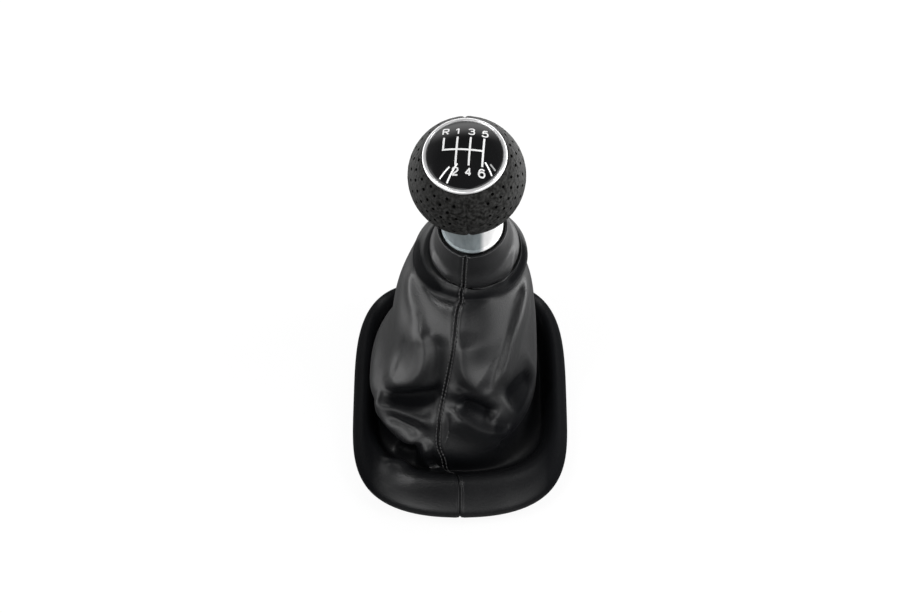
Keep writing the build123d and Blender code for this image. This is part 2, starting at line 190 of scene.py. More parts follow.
plainLooks = {
    "capLacquer": {"dark": (0.0025, 0.0026, 0.003), "light": (0.006, 0.006, 0.0066),
                   "roughness": (0.03, 0.06), "noise": (60.0, 2.0), "bump": (0.02, 0.0005),
                   "sockets": {"Specular IOR Level": 0.5, "Coat Weight": 0.6, "Coat Roughness": 0.02}},
    "bezelChrome": {"dark": (0.9, 0.9, 0.91), "light": (0.97, 0.97, 0.97), "roughness": (0.14, 0.2),
                    "noise": (400.0, 6.0, 0.65), "bump": (0.02, 0.0001), "sockets": {"Metallic": 0.5}},
    # the collar's right side is a painted highlight, mixed to white
    "collarAluminium": {"dark": (0.14, 0.17, 0.18), "light": (0.42, 0.47, 0.49), "roughness": (0.3, 0.45),
                        "stretch": (1.0, 1.0, 0.12), "noise": (600.0, 6.0, 0.65), "bump": (0.2, 0.0001),
                        "sockets": {"Metallic": 0.45}, "paintedHighlightSide": (0.0085, 0.0115)},
    "clampSteel": {"dark": (0.5, 0.5, 0.49), "light": (0.66, 0.66, 0.65), "roughness": (0.25, 0.4),
                   "stretch": (1.0, 1.0, 0.3), "noise": (700.0, 6.0, 0.65), "bump": (0.1, 0.0001),
                   "sockets": {"Metallic": 1.0}},
    "framePlastic": {"dark": (0.012, 0.012, 0.013), "light": (0.022, 0.022, 0.023), "roughness": (0.49, 0.61),
                     "noise": (700.0, 4.0, 0.6), "bump": (0.2, 0.0002)},
    "corePlastic": {"dark": (0.02, 0.02, 0.021), "light": (0.03, 0.03, 0.031), "roughness": (0.44, 0.56),
                    "noise": (700.0, 4.0, 0.6), "bump": (0.2, 0.0002)},
    "socketPlastic": {"dark": (0.03, 0.03, 0.031), "light": (0.045, 0.045, 0.046), "roughness": (0.39, 0.51),
                      "noise": (700.0, 4.0, 0.6), "bump": (0.2, 0.0002)},
    "printWhite": {"dark": (0.95, 0.95, 0.95), "light": (1.0, 1.0, 1.0), "roughness": (0.34, 0.46),
                   "noise": (1500.0, 4.0, 0.6), "bump": (0.05, 0.0002)},
    # painted shade for the inside of each perforation
    "holeShade": {"dark": (0.0005,) * 3, "light": (0.001,) * 3, "roughness": (0.84, 0.96),
                  "noise": (2000.0, 4.0, 0.6), "bump": (0.1, 0.0002), "sockets": {"Specular IOR Level": 0.0}},
}
gaiterLeather = leatherMaterial("gaiterLeather", gaiterLook)
ballLeather = leatherMaterial("ballLeather", ballLook)
seamThread = threadMaterial("seamThread", threadLook)
finish = {name: noisyMaterial(name, look) for name, look in plainLooks.items()}
print("stage: materials")


def unit(vectors):
    return vectors / np.linalg.norm(vectors, axis=-1, keepdims=True)


def walked(points):  # length along a line of points, from its first
    return np.concatenate(([0.0], np.cumsum(np.linalg.norm(np.diff(points, axis=0), axis=-1))))


def bell(away, reach):
    return np.exp(-((away / reach) ** 2))


def addPiece(name, vertices, faces, material, normals=None):
    mesh = bpy.data.meshes.new(name)
    mesh.from_pydata((np.asarray(vertices, float) * mm).tolist(), [], faces)
    mesh.validate()
    mesh.polygons.foreach_set("use_smooth", [True] * len(mesh.polygons))
    if normals is not None:
        mesh.normals_split_custom_set_from_vertices(np.asarray(normals, float).tolist())
    mesh.materials.append(material)
    piece = bpy.data.objects.new(name, mesh)
    bpy.context.scene.collection.objects.link(piece)
    return piece


def turnedPiece(name, profile, material, segments=160):  # closed line of (radius, level)
    turn = np.arange(segments) * 2 * math.pi / segments
    rings = [np.stack((r * np.sin(turn), -r * np.cos(turn), np.full(segments, z)), -1) for r, z in profile]
    count = len(profile)
    faces = []
    for k in range(count):
        here, there = k * segments, (k + 1) % count * segments
        for s in range(segments):
            t = (s + 1) % segments
            faces.append((here + s, here + t, there + t, there + s))
    return addPiece(name, onKnob(np.concatenate(rings)), faces, material)


def arcPoints(centre, radius, start, end, count):  # part of a circle in (radius, level), angles in degrees
    angles = np.radians(np.linspace(start, end, count))
    return [(centre[0] + radius * math.cos(a), centre[1] + radius * math.sin(a)) for a in angles]


def gridNormals(points, side):
    return unit(np.cross(np.gradient(points, axis=1), np.gradient(points, axis=0)) * side)


def closedPanel(outer, normals, thickness, side, roundLow, roundHigh):
    # one leather panel as a closed skin: outside, inside, both long edges, rounded or flat ends
    rows, cols = outer.shape[:2]
    inner = outer - normals * thickness
    vertices = [outer.reshape(-1, 3), inner.reshape(-1, 3)]
    vertexNormals = [normals.reshape(-1, 3), -normals.reshape(-1, 3)]
    half = rows * cols
    faces = []

    def face(*ids):
        faces.append(ids if side > 0 else ids[::-1])

    for r in range(rows - 1):
        for c in range(cols - 1):
            a, d = r * cols + c, (r + 1) * cols + c + 1
            face(a, a + 1, d, d - 1)
            face(half + d - 1, half + d, half + a + 1, half + a)
        for c, flip in ((0, False), (cols - 1, True)):
            a, d = r * cols + c, (r + 1) * cols + c
            quad = (a, d, half + d, half + a)
            face(*(quad[::-1] if flip else quad))
    count = 2 * half
    for row, beyond, rounded in ((0, -1, roundLow), (rows - 1, 1, roundHigh)):
        away = unit(outer[row] - outer[row - beyond])
        chain = [row * cols + np.arange(cols)]
        for angle in np.radians((45, 90, 135)) if rounded else ():
            out = normals[row] * math.cos(angle) + away * math.sin(angle)
            vertices.append((outer[row] + inner[row]) / 2 + out * thickness / 2)
            vertexNormals.append(out)
            chain.append(count + np.arange(cols))
            count += cols
        chain.append(half + row * cols + np.arange(cols))
        for low, high in zip(chain, chain[1:]):
            for c in range(cols - 1):
                quad = (int(low[c]), int(low[c + 1]), int(high[c + 1]), int(high[c]))
                face(*(quad[::-1] if beyond < 0 else quad))
        for c, flip in ((0, False), (cols - 1, True)) if rounded else ():
            ends = tuple(int(k[c]) for k in chain)
            face(*(ends[::-1] if flip != (beyond < 0) else ends))
    return np.concatenate(vertices), faces, np.concatenate(vertexNormals)


# gaiter: rings from the hem on the frame to the lip round the neck
gaiterSize = {
    "leather": 1.2, "columns": 150, "rows": 190, "splitRow": 108, "ringSteps": 720, "crowding": 0.86,
    "halfWidth": 52.5, "halfLength": 68.0, "widest": -5.0,
    "rimPowers": ((2.3, 4.0), (3.7, 3.7)), "bodyPowers": ((1.95, 1.95), (2.5, 2.5)),  # front, rear
    "neckPowers": ((2.0, 2.0), (2.0, 2.0)),
    "rimBottom": 7.0, "rimHeight": 14.5, "hemTuck": 0.5,
    "rimLevels": ((0.25, 0.0, 0.0), (0.6, 0.16, 0.24), (0.86, 0.48, 0.56)),  # shares of height, side, front
    "crestSide": 7.5, "crestFront": 14.5, "crestRear": 9.0, "crestSeam": -1.0,
    "valleyDepth": 9.0, "valleySide": 5.0, "valleyFront": 9.5, "valleyRear": 5.0,
    "valleyLevels": ((0.25, 0.42, 0.34, -2.0), (0.72, 0.72, 0.62, -4.0), (1.0, 1.02, 0.87, -6.0)),
    "bodyRings": (  # height, left, right, front, rear, widest place, seam's place across
        (19.0, 39.4, 36.4, 43.0, 50.0, 3.0, -8.0), (25.0, 42.0, 36.6, 41.5, 51.5, 0.0, -10.0),
        (32.0, 43.8, 36.8, 38.5, 52.0, -4.0, -10.5), (39.0, 39.8, 37.0, 35.5, 52.0, -4.0, -10.0),
        (47.0, 35.2, 37.0, 31.5, 52.0, 0.0, -9.0), (57.0, 33.0, 36.6, 26.5, 51.5, 8.0, -7.0),
        (68.0, 31.2, 35.6, 20.5, 51.0, 13.0, -4.5), (80.0, 27.0, 33.0, 13.5, 50.5, 18.0, -2.6),
        (90.0, 22.6, 30.0, 4.2, 50.0, 22.0, -1.0)),
    "cuffTop": -50.0, "cuffCrease": -75.0, "cuffFoot": 2.5, "cuffShares": (0.4, 0.7, 1.0),
    "lipRadius": 16.3, "cuffRadius": 20.4, "creaseRadius": 19.6,
    "shoulderRadius": 26.2, "shoulderFront": 23.0, "shoulderDrop": 4.5, "shoulderLeft": 2.4,
    "turnDrop": 0.2, "turnWide": 0.88, "turnLeft": 0.8,  # shares where the shoulder turns in to the crease
    "tuckRise": 0.1, "tuckIn": 1.0, "tuckFront": 0.2,
    "shoulderSeam": -5.7, "lipSeam": -3.4, "seamShift": -0.55,
}


def flatRing(height, left, right, front, rear, widest, seam, powers):
    return {"centre": np.array((0.0, widest, height)), "across": np.array((1.0, 0.0, 0.0)),
            "along": np.array((0.0, 1.0, 0.0)), "left": left, "right": right, "front": front + widest,
            "rear": rear - widest, "powers": powers, "seam": seam}


def rimRing(height, side, front, rear, seam=0.0):
    g = gaiterSize
    half, front, rear = g["halfWidth"] - side, g["halfLength"] - front, g["halfLength"] - rear
    return flatRing(height, half, half, front, rear, g["widest"], seam, g["rimPowers"])


def knobRing(level, radius, sideways=0.0, front=None):
    g = gaiterSize
    up = max((level - g["cuffCrease"]) / (g["cuffTop"] - g["cuffCrease"]), 0.0)
    seam = g["shoulderSeam"] + (g["lipSeam"] - g["shoulderSeam"]) * up + g["seamShift"] * sideways
    return {"centre": knobCentre + knobAcross * sideways + knobUp * level, "across": knobAcross,
            "along": knobAlong, "left": radius, "right": radius, "front": front or radius, "rear": radius,
            "powers": g["neckPowers"], "seam": seam}


def gaiterRings():
    g = gaiterSize
    low, top = g["rimBottom"], g["rimBottom"] + g["rimHeight"]
    side, front, rear = g["crestSide"], g["crestFront"], g["crestRear"]
    rings = [rimRing(low, g["hemTuck"], g["hemTuck"], g["hemTuck"])]
    for level, sideShare, frontShare in g["rimLevels"]:
        rings.append(rimRing(low + level * g["rimHeight"], sideShare * side, frontShare * front,
                             sideShare * rear))
    rings.append(rimRing(top, side, front, rear, g["crestSeam"]))
    for drop, sideShare, frontShare, seam in g["valleyLevels"]:
        rings.append(rimRing(top - drop * g["valleyDepth"], side + sideShare * g["valleySide"],
                             front + frontShare * g["valleyFront"], rear + sideShare * g["valleyRear"], seam))
    rings += [flatRing(*ring, g["bodyPowers"]) for ring in g["bodyRings"]]
    crease, tall, drop = g["cuffCrease"], g["cuffTop"] - g["cuffCrease"], g["shoulderDrop"]
    wide, left = g["shoulderRadius"], g["shoulderLeft"]
    front, tight = g["shoulderFront"], g["creaseRadius"]
    rings.append(knobRing(crease - drop, wide, -left, front))
    rings.append(knobRing(crease - g["turnDrop"] * drop, g["turnWide"] * wide, -g["turnLeft"] * left,
                          (front + tight) / 2))
    rings.append(knobRing(crease + g["tuckRise"] * drop, (wide + tight) / 2 - g["tuckIn"], 0.0,
                          tight + g["tuckFront"]))
    rings += [knobRing(crease, tight), knobRing(crease + g["cuffFoot"], g["cuffRadius"])]
    for share in g["cuffShares"]:
        radius = g["cuffRadius"] + (g["lipRadius"] - g["cuffRadius"]) * share
        rings.append(knobRing(crease + share * tall, radius))
    return rings


def ringRow(ring, side, shares):  # points from the front seam to the rear seam, evenly by length
    steps = gaiterSize["ringSteps"]
    turn = np.pi * (2 * np.arange(steps + 1) / steps - 1)
    sine, cosine = np.sin(turn), np.cos(turn)
    front = cosine > 0
    (frontX, frontY), (rearX, rearY) = ring["powers"]
    powerX, powerY = np.where(front, frontX, rearX), np.where(front, frontY, rearY)
    x = np.where(sine > 0, ring["right"], -ring["left"]) * np.abs(sine) ** (2 / powerX)
    y = np.where(front, -ring["front"], ring["rear"]) * np.abs(cosine) ** (2 / powerY)
    walk = walked(np.stack((x, y), -1))
    start = walk[steps // 2] + ring["seam"]
    end = walk[-1] if side > 0 else 0.0
    place = start + (end - start) * shares
    return (ring["centre"] + np.interp(place, walk, x)[:, None] * ring["across"]
            + np.interp(place, walk, y)[:, None] * ring["along"])


def splineThrough(knots, values, where):  # natural cubic through the rings
    count, step = len(knots), np.diff(knots)
    matrix, right = np.eye(count), np.zeros_like(values)
    for i in range(1, count - 1):
        matrix[i, i - 1:i + 2] = step[i - 1], 2 * (step[i - 1] + step[i]), step[i]
        right[i] = 6 * ((values[i + 1] - values[i]) / step[i] - (values[i] - values[i - 1]) / step[i - 1])
    bend = np.linalg.solve(matrix, right.reshape(count, -1)).reshape(values.shape)
    k = np.clip(np.searchsorted(knots, where) - 1, 0, count - 2)
    h, p, q = (x[:, None, None] for x in (step[k], knots[k + 1] - where, where - knots[k]))
    return ((bend[k] * p**3 + bend[k + 1] * q**3) / (6 * h) + (values[k] / h - bend[k] * h / 6) * p
            + (values[k + 1] / h - bend[k + 1] * h / 6) * q)


def crowdedShares(count, crowding):  # closer together at the seams
    even = np.linspace(0, 1, count)
    return even - crowding * np.sin(2 * np.pi * even) / (2 * np.pi)


def smoothSkin(side):  # one panel before its folds
    g = gaiterSize
    shares = crowdedShares(g["columns"], g["crowding"])
    coarse = np.stack([ringRow(ring, side, shares) for ring in gaiterRings()])
    chord = np.linalg.norm(np.diff(coarse, axis=0), axis=-1).mean(axis=1)
    knots = np.concatenate(([0.0], np.cumsum(chord)))
    points = splineThrough(knots, coarse, np.linspace(0, knots[-1], g["rows"]))
    return points, gridNormals(points, side)


# strokes are drawn as seen in the picture: push out, reach on the left and right hand of the run,
# and the pixels that it runs through
strokeSize = {"samples": 48, "hiddenAway": 50.0, "near": 2.0, "slack": 0.5, "layer": 4.0, "handOver": 1.2,
              "fade": 0.25}
gaiterFolds = {
    "leftLobe": (4.2, 3.4, 9.0, ((416, 310), (421.5, 329.5), (425, 345), (425, 360), (421.5, 371.5),
                                 (412, 380), (396, 384), (380.5, 385.5))),
    "lobeTop": (1.5, 4.0, 5.0, ((412, 266), (411.5, 285.5), (416, 310), (421, 330))),
    "lobeCrease": (-0.7, 2.4, 2.6, ((407, 337), (400, 352), (397, 367.5), (400, 380))),
    "leftHollow": (-4.4, 3.4, 6.0, ((380, 392), (399.5, 394.5), (419, 394.5), (436, 392.5), (444, 383))),
    "seamHollow": (-2.2, 6.0, 6.0, ((434, 332), (436, 356), (438, 380), (440, 398))),
    "tipRidge": (2.2, 5.0, 3.0, ((373.5, 394), (388, 405), (407, 412.5), (426.5, 422), (436, 433))),
    "bellyCrease": (-1.4, 1.9, 1.9, ((386, 412.5), (403.5, 424), (422.5, 431.5))),
    "bellyEdge": (3.4, 4.5, 2.6, ((374, 396), (383, 411), (391, 422), (401, 432), (413, 438.5), (427, 438))),
    "pocket": (-3.2, 3.0, 3.4, ((399, 442), (407, 451), (419, 450))),
    "crestBridge": (3.2, 2.6, 4.0, ((425, 437), (428, 448), (427, 460), (432, 467.5), (449, 472))),
    "rightLobe": (3.0, 9.0, 3.4, ((464.5, 329.5), (462.5, 348.5), (463, 364), (467.5, 377), (476, 385),
                                  (489.5, 389.5))),
    "rightBand": (1.2, 2.6, 2.6, ((450, 395), (462, 393.5), (480, 394), (491.5, 396.5))),
    "rightHollow": (-4.4, 3.4, 3.4, ((456, 404), (470, 406), (484, 410.5), (497, 419))),
    "rightLip": (4.0, 2.2, 8.0, ((443, 413), (450, 412.5), (460, 415), (472.5, 422.5), (484, 428.5),
                                 (497, 430), (512.5, 429))),
    "crestLeft": (2.3, 4.0, 3.6, ((378, 464), (394, 463), (408, 462))),
    "lipCrease": (-1.0, 1.9, 2.0, ((493.5, 433.5), (500, 440), (503, 448))),
    "rightDiagonal": (2.6, 5.0, 2.4, ((527, 275), (521.5, 295), (517, 312), (512.5, 333), (504, 360),
                                      (497.5, 383), (494, 400))),
    "rightSideHollow": (-4.2, 8.0, 9.0, ((535, 372), (527, 386), (517, 398), (506, 408))),
    "cuffRight": (1.0, 2.0, 2.4, ((515, 243), (512, 258.5), (506, 275), (497, 287))),
    "cuffLeft": (0.8, 2.0, 3.0, ((431, 251), (440, 266), (451, 280))),
}
paintedLightStrokes = {  # positive is painted shade, negative is painted highlight
    "tipBand": (0.6, 5.5, 5.5, ((376, 396), (390, 401), (404, 407), (420, 413), (436, 420))),
    "underLobe": (0.3, 6.0, 6.0, ((384, 394), (404, 398), (424, 402), (440, 404))),
    "rightSide": (0.75, 9.0, 9.0, ((529, 366), (527, 382), (524, 396), (517, 412), (506, 424))),
    "lipShade": (0.8, 5.0, 7.0, ((448, 415), (462, 418), (478, 425), (494, 430), (508, 430), (520, 427))),
    "rightBulge": (0.5, 6.0, 6.0, ((470, 296), (480, 312), (484, 330), (480, 352), (474, 372))),
    "besideSeam": (0.2, 5.0, 5.0, ((441, 345), (440, 362), (438, 380), (440, 400))),
    "shoulderLeft": (0.75, 4.5, 4.5, ((419, 234), (414, 250), (418, 266), (430, 280), (448, 290))),
    "shoulderRight": (0.35, 4.0, 4.0, ((523, 238), (524, 256), (516, 272), (502, 283))),
    "cuffGloss": (-0.6, 6.0, 6.0, ((427, 250), (438, 264), (452, 274), (468, 277), (486, 272), (502, 262),
                                   (512, 248))),
    "rightFace": (-0.6, 7.0, 5.0, ((530, 290), (526, 310), (522, 330), (519, 350), (516, 368))),
    "leftFlank": (-0.6, 6.0, 8.0, ((404, 274), (402, 292), (400, 312), (396, 332))),
    "bellyGloss": (-0.8, 3.0, 3.0, ((379, 408), (388, 421), (398, 431), (412, 438), (424, 438))),
    "crestGloss": (-0.75, 5.0, 5.0, ((376, 473), (390, 473), (404, 473.5), (418, 473))),
    "valleyBits": (0.9, 3.0, 3.0, ((412, 464), (424, 465), (436, 466), (442, 468))),
    "seamSpots": (0.8, 6.0, 6.0, ((452, 384), (458, 388), (462, 392), (456, 400), (454, 408))),
    "lipEnd": (0.6, 4.0, 4.0, ((494, 423), (502, 425), (509, 427))),
}


def inPicture(points):  # pixels in the picture, and the way from the camera
    c = cameraView
    up = math.radians(c["elevation"])
    ahead = np.array((0.0, math.cos(up), -math.sin(up)))
    above = np.array((0.0, math.sin(up), math.cos(up)))
    seen = points - (np.array(c["target"]) - ahead * c["distance"]) / mm
    deep = seen @ ahead
    wide, tall = c["picture"]
    scale = c["lens"] / c["sensor"] * wide / deep
    return np.stack((wide / 2 + seen[..., 0] * scale, tall / 2 - seen @ above * scale), -1), seen, deep


def laidRuns(skins, strokes):  # each stroke's run laid on the smooth skin, as even samples
    s = strokeSize
    points = np.concatenate([p.reshape(-1, 3) for p, n in skins])
    normals = np.concatenate([n.reshape(-1, 3) for p, n in skins])
    pixels, seen, deep = inPicture(points)
    hidden = (normals * seen).sum(-1) > 0
    runs = []
    for push, left, right, spots in strokes.values():
        laid = []
        for spot in spots:
            away = np.hypot(*(pixels - spot).T) + np.where(hidden, s["hiddenAway"], 0.0)
            near = np.flatnonzero(away < max(s["near"], away.min() + s["slack"]))
            near = near[deep[near] < deep[near].min() + s["layer"]]
            laid.append(points[near[np.argmin(away[near])]])
        walk = walked(np.array(laid))
        run = splineThrough(walk, np.array(laid)[:, None], np.linspace(0, walk[-1], s["samples"]))[:, 0]
        runs.append((run, unit(np.gradient(run, axis=0))))
    return runs


def strokeField(points, normals, strokes, runs):
    depth = np.zeros(points.shape[:-1])
    for (push, left, right, spots), (run, ahead) in zip(strokes.values(), runs):
        nearest = np.linalg.norm(points[..., None, :] - run, axis=-1).argmin(-1)
        offset = points - run[nearest]
        step = np.linalg.norm(run[-1] - run[-2])
        along = (offset * ahead[nearest]).sum(-1)
        place = np.clip(nearest + along / step, 0, len(run) - 1) / (len(run) - 1)
        aside = offset - np.clip(along, -step, step)[..., None] * ahead[nearest]
        hand = (np.cross(ahead[nearest], offset) * normals).sum(-1)
        reach = (left + right) / 2 + (left - right) / 2 * np.tanh(hand / strokeSize["handOver"])
        fade = np.clip(np.minimum(place, 1 - place) / strokeSize["fade"], 0, 1)  # runs out at both ends
        depth += push * np.exp(-((aside**2).sum(-1) / reach**2)) * fade * fade * (3 - 2 * fade)
    return depth


seamShape = {"dip": 0.8, "dipReach": 0.5, "pillow": 0.25, "pillowAt": 2.2, "pillowReach": 1.4,
             "leastPillow": 0.2, "stitchAt": 1.25, "stitchDip": 0.12, "stitchReach": 0.45,
             "plainRows": (30, 44)}


def seamDepth(points):
    s = seamShape
    step = np.linalg.norm(np.diff(points, axis=1), axis=-1)
    walk = np.concatenate((np.zeros((len(points), 1)), np.cumsum(step, axis=1)), axis=1)
    depth = np.zeros(walk.shape)
    low, high = s["plainRows"]
    full = np.clip((np.arange(len(points)) - low) / (high - low), s["leastPillow"], 1)[:, None]
    for away in (walk, walk[:, -1:] - walk):
        depth -= s["dip"] * bell(away, s["dipReach"])
        depth += s["pillow"] * full * bell(away - s["pillowAt"], s["pillowReach"])
        depth -= s["stitchDip"] * bell(away - s["stitchAt"], s["stitchReach"])
    return depth


def matchSeams(skins):  # both panels share one normal along the front and the rear seam
    for column in (0, -1):
        shared = unit(sum(normals[:, column] for points, normals in skins.values()))
        for points, normals in skins.values():
            normals[:, column] = shared
    return skins


def pushed(skins, depths):
    skins = {side: points + normals * depths[side][..., None] for side, (points, normals) in skins.items()}
    return matchSeams({side: (points, gridNormals(points, side)) for side, points in skins.items()})


smoothSkins = matchSeams({side: smoothSkin(side) for side in (-1, 1)})
foldDepths, paintedLightFields = {}, {}
for strokes, fields in ((gaiterFolds, foldDepths), (paintedLightStrokes, paintedLightFields)):
    runs = laidRuns(list(smoothSkins.values()), strokes)
    for side, skin in smoothSkins.items():
        fields[side] = strokeField(*skin, strokes, runs)
gaiterSkins = pushed(smoothSkins, foldDepths)
seamDepths = {side: seamDepth(points) for side, (points, normals) in gaiterSkins.items()}
gaiterSkins = pushed(gaiterSkins, seamDepths)
paintedShadeSize = {"foldDepth": 3.4, "strongestHighlight": -0.9, "deepestShade": 0.96,
              "rows": ((46.0, 9.0, 0.9), (150.0, 6.0, 0.75)),  # painted shade along the valley and the cuff's crease: row, reach, amount
              # painted shade on the rim, light at the front and deepest at its sides
              "rimFrom": 0.45, "rimTo": 0.8, "rimRows": (38, 50), "rimFront": 0.42, "rimSide": 0.95,
              "rimDeep": 0.975}


def paintedShadeMap(side):  # painted shade on the leather's specular: hollows of the folds, valley, crease, rim sides, and the drawn strokes of painted shade and highlight
    h, g = paintedShadeSize, gaiterSize
    points, normals = gaiterSkins[side]
    deep = np.clip(-foldDepths[side] / h["foldDepth"], 0, 1)
    rows = np.arange(g["rows"])[:, None]
    for row, reach, amount in h["rows"]:
        deep = np.maximum(deep, amount * bell(rows - row, reach))
    away = np.maximum(np.abs(points[..., 0]) / g["halfWidth"], points[..., 1] / g["halfLength"])
    beside = np.clip((away - h["rimFrom"]) / (h["rimTo"] - h["rimFrom"]), 0, 1)
    low = np.clip((h["rimRows"][1] - rows) / (h["rimRows"][1] - h["rimRows"][0]), 0, 1)
    deep = np.maximum(deep, (h["rimFront"] + (h["rimSide"] - h["rimFront"]) * beside) * low)
    deep = np.clip(deep + paintedLightFields[side], h["strongestHighlight"], h["deepestShade"])
    return np.maximum(deep, h["rimDeep"] * beside * low)


gaiterHalves = {  # rows of the skin, ends, bodies it bends between and the bend's heights, what it rests on
    "Lower": {"rows": (0, gaiterSize["splitRow"]), "rounded": (True, False), "bodies": ("base", "gaiter"),
              "bend": (0.022, 0.0655), "support": "base_frame"},
    "Upper": {"rows": (gaiterSize["splitRow"], gaiterSize["rows"] - 1), "rounded": (False, True),
              "bodies": ("gaiter", "knob"), "bend": (0.0705, 0.108), "support": "gaiter_tie"},
}
gaiterPieces = {}
for half, h in gaiterHalves.items():
    part = slice(h["rows"][0], h["rows"][1] + 1)
    vertices, faces, normals, shade = [], [], [], []
    for side, (skin, skinNormals) in gaiterSkins.items():
        v, f, n = closedPanel(skin[part], skinNormals[part], gaiterSize["leather"], side, *h["rounded"])
        start = sum(len(done) for done in vertices)
        faces += [tuple(i + start for i in face) for face in f]
        hollow = paintedShadeMap(side)[part].ravel()
        shade += [hollow, np.zeros(len(v) - len(hollow))]
        vertices.append(v)
        normals.append(n)
    piece = addPiece("gaiter" + half, np.concatenate(vertices), faces, gaiterLeather, np.concatenate(normals))
    attribute = piece.data.attributes.new("hollow", "FLOAT", "POINT")
    attribute.data.foreach_set("value", np.concatenate(shade))
    gaiterPieces[half] = piece
    print("stage:", piece.name, len(faces), "faces")

# seams: thread rows both sides of the front and rear seam, laid by a node tree
stitchSize = {"pitch": 2.1, "length": 1.75, "thread": 0.66, "lift": 0.22, "rows": (34, 188),
              "beadSides": (8, 6)}


def nodeGroup(name, inputs, output):  # tree with its sockets, its start and its end
    tree = bpy.data.node_groups.new(name, "GeometryNodeTree")
    for socket, kind in inputs.items():
        tree.interface.new_socket(socket, in_out="INPUT", socket_type="NodeSocket" + kind)
    tree.interface.new_socket(output, in_out="OUTPUT", socket_type="NodeSocketGeometry")
    return tree, addNode(tree, "NodeGroupInput").outputs, addNode(tree, "NodeGroupOutput")


def outwardNode(tree):
    named = addNode(tree, "GeometryNodeInputNamedAttribute", data_type="FLOAT_VECTOR")
    setSockets(named, {"Name": "outward"})
    return named.outputs["Attribute"]


def placedNode(tree, points, instance, rotation, size=None):  # instances on points, made real
    sockets = {"Points": points, "Instance": instance, "Rotation": rotation}
    if size:
        sockets["Scale"] = size
    placed = addNode(tree, "GeometryNodeInstanceOnPoints", sockets).outputs["Instances"]
    return addNode(tree, "GeometryNodeRealizeInstances", {"Geometry": placed}).outputs["Geometry"]


def finishNode(tree, mesh, material):
    sockets = {"Geometry": mesh, "Material": material}
    return addNode(tree, "GeometryNodeSetMaterial", sockets).outputs["Geometry"]


def stitchTree():
    inputs = {"Path": "Geometry", "Pitch": "Float", "Length": "Float", "Thread": "Float",
              "Finish": "Material"}
    tree, start, end = nodeGroup("seamStitches", inputs, "Stitches")
    curve = addNode(tree, "GeometryNodeMeshToCurve", {"Mesh": start["Path"]}).outputs["Curve"]
    spaced = {"Curve": curve, "Length": start["Pitch"]}
    curve = addNode(tree, "GeometryNodeResampleCurve", spaced, mode="LENGTH").outputs["Curve"]
    spots = addNode(tree, "GeometryNodeCurveToPoints", {"Curve": curve}, mode="EVALUATED").outputs
    ways = {"Primary Axis": spots["Tangent"], "Secondary Axis": outwardNode(tree)}
    turn = addNode(tree, "FunctionNodeAxesToRotation", ways, primary_axis="X", secondary_axis="Z")
    segments, rings = stitchSize["beadSides"]
    sides = {"Segments": segments, "Rings": rings, "Radius": 0.5}
    bead = addNode(tree, "GeometryNodeMeshUVSphere", sides).outputs["Mesh"]
    sizes = {"X": start["Length"], "Y": start["Thread"], "Z": start["Thread"]}
    size = addNode(tree, "ShaderNodeCombineXYZ", sizes).outputs["Vector"]
    mesh = placedNode(tree, spots["Points"], bead, turn.outputs["Rotation"], size)
    mesh = addNode(tree, "GeometryNodeSetShadeSmooth", {"Geometry": mesh}).outputs["Geometry"]
    setSockets(end, {"Stitches": finishNode(tree, mesh, start["Finish"])})
    return tree


def nodesToMesh(name, paths, tree, values, joined=True):  # paths of (points, outward) to a plain mesh piece
    vertices, edges, outward = [], [], []
    for points, out in paths:
        first = len(vertices)
        vertices += (np.asarray(points) * mm).tolist()
        outward += np.asarray(out).tolist()
        if joined:
            edges += [(first + i, first + i + 1) for i in range(len(points) - 1)]
    mesh = bpy.data.meshes.new(name + "Path")
    mesh.from_pydata(vertices, edges, [])
    mesh.attributes.new("outward", "FLOAT_VECTOR", "POINT").data.foreach_set("vector", np.ravel(outward))
    source = bpy.data.objects.new(name + "Path", mesh)
    bpy.context.scene.collection.objects.link(source)
    modifier = source.modifiers.new(name, "NODES")
    modifier.node_group = tree
    for socket in tree.interface.items_tree:
        if socket.in_out == "INPUT" and socket.name in values:
            modifier[socket.identifier] = values[socket.name]
    graph = bpy.context.evaluated_depsgraph_get()
    made = bpy.data.meshes.new_from_object(source.evaluated_get(graph))
    made.name = name
    source.modifiers.remove(modifier)
    bpy.data.objects.remove(source)
    piece = bpy.data.objects.new(name, made)
    bpy.context.scene.collection.objects.link(piece)
    return piece


def seamPath(side, atRear, rowLow, rowHigh):  # points beside a seam on the finished skin
    away, lift = seamShape["stitchAt"], stitchSize["lift"]
    points, normals = gaiterSkins[side]
    path, out = [], []
    for r in range(rowLow, rowHigh + 1):
        row, norm = (points[r, ::-1], normals[r, ::-1]) if atRear else (points[r], normals[r])
        walk = walked(row)
        spot = np.array([np.interp(away, walk, row[:, k]) for k in range(3)])
        up = unit(np.array([np.interp(away, walk, norm[:, k]) for k in range(3)]))
        path.append(spot + up * lift)
        out.append(up)
    return path, out


seamStitches = stitchTree()
stitchPieces = {}
for half, h in gaiterHalves.items():
    low, high = max(h["rows"][0], stitchSize["rows"][0]), min(h["rows"][1], stitchSize["rows"][1])
    paths = [seamPath(side, atRear, low, high) for side in (-1, 1) for atRear in (False, True)]
    stitchPieces[half] = nodesToMesh("stitches" + half, paths, seamStitches, {
        "Pitch": stitchSize["pitch"] * mm, "Length": stitchSize["length"] * mm,
        "Thread": stitchSize["thread"] * mm, "Finish": seamThread})
    print("stage:", stitchPieces[half].name, len(stitchPieces[half].data.polygons), "faces")

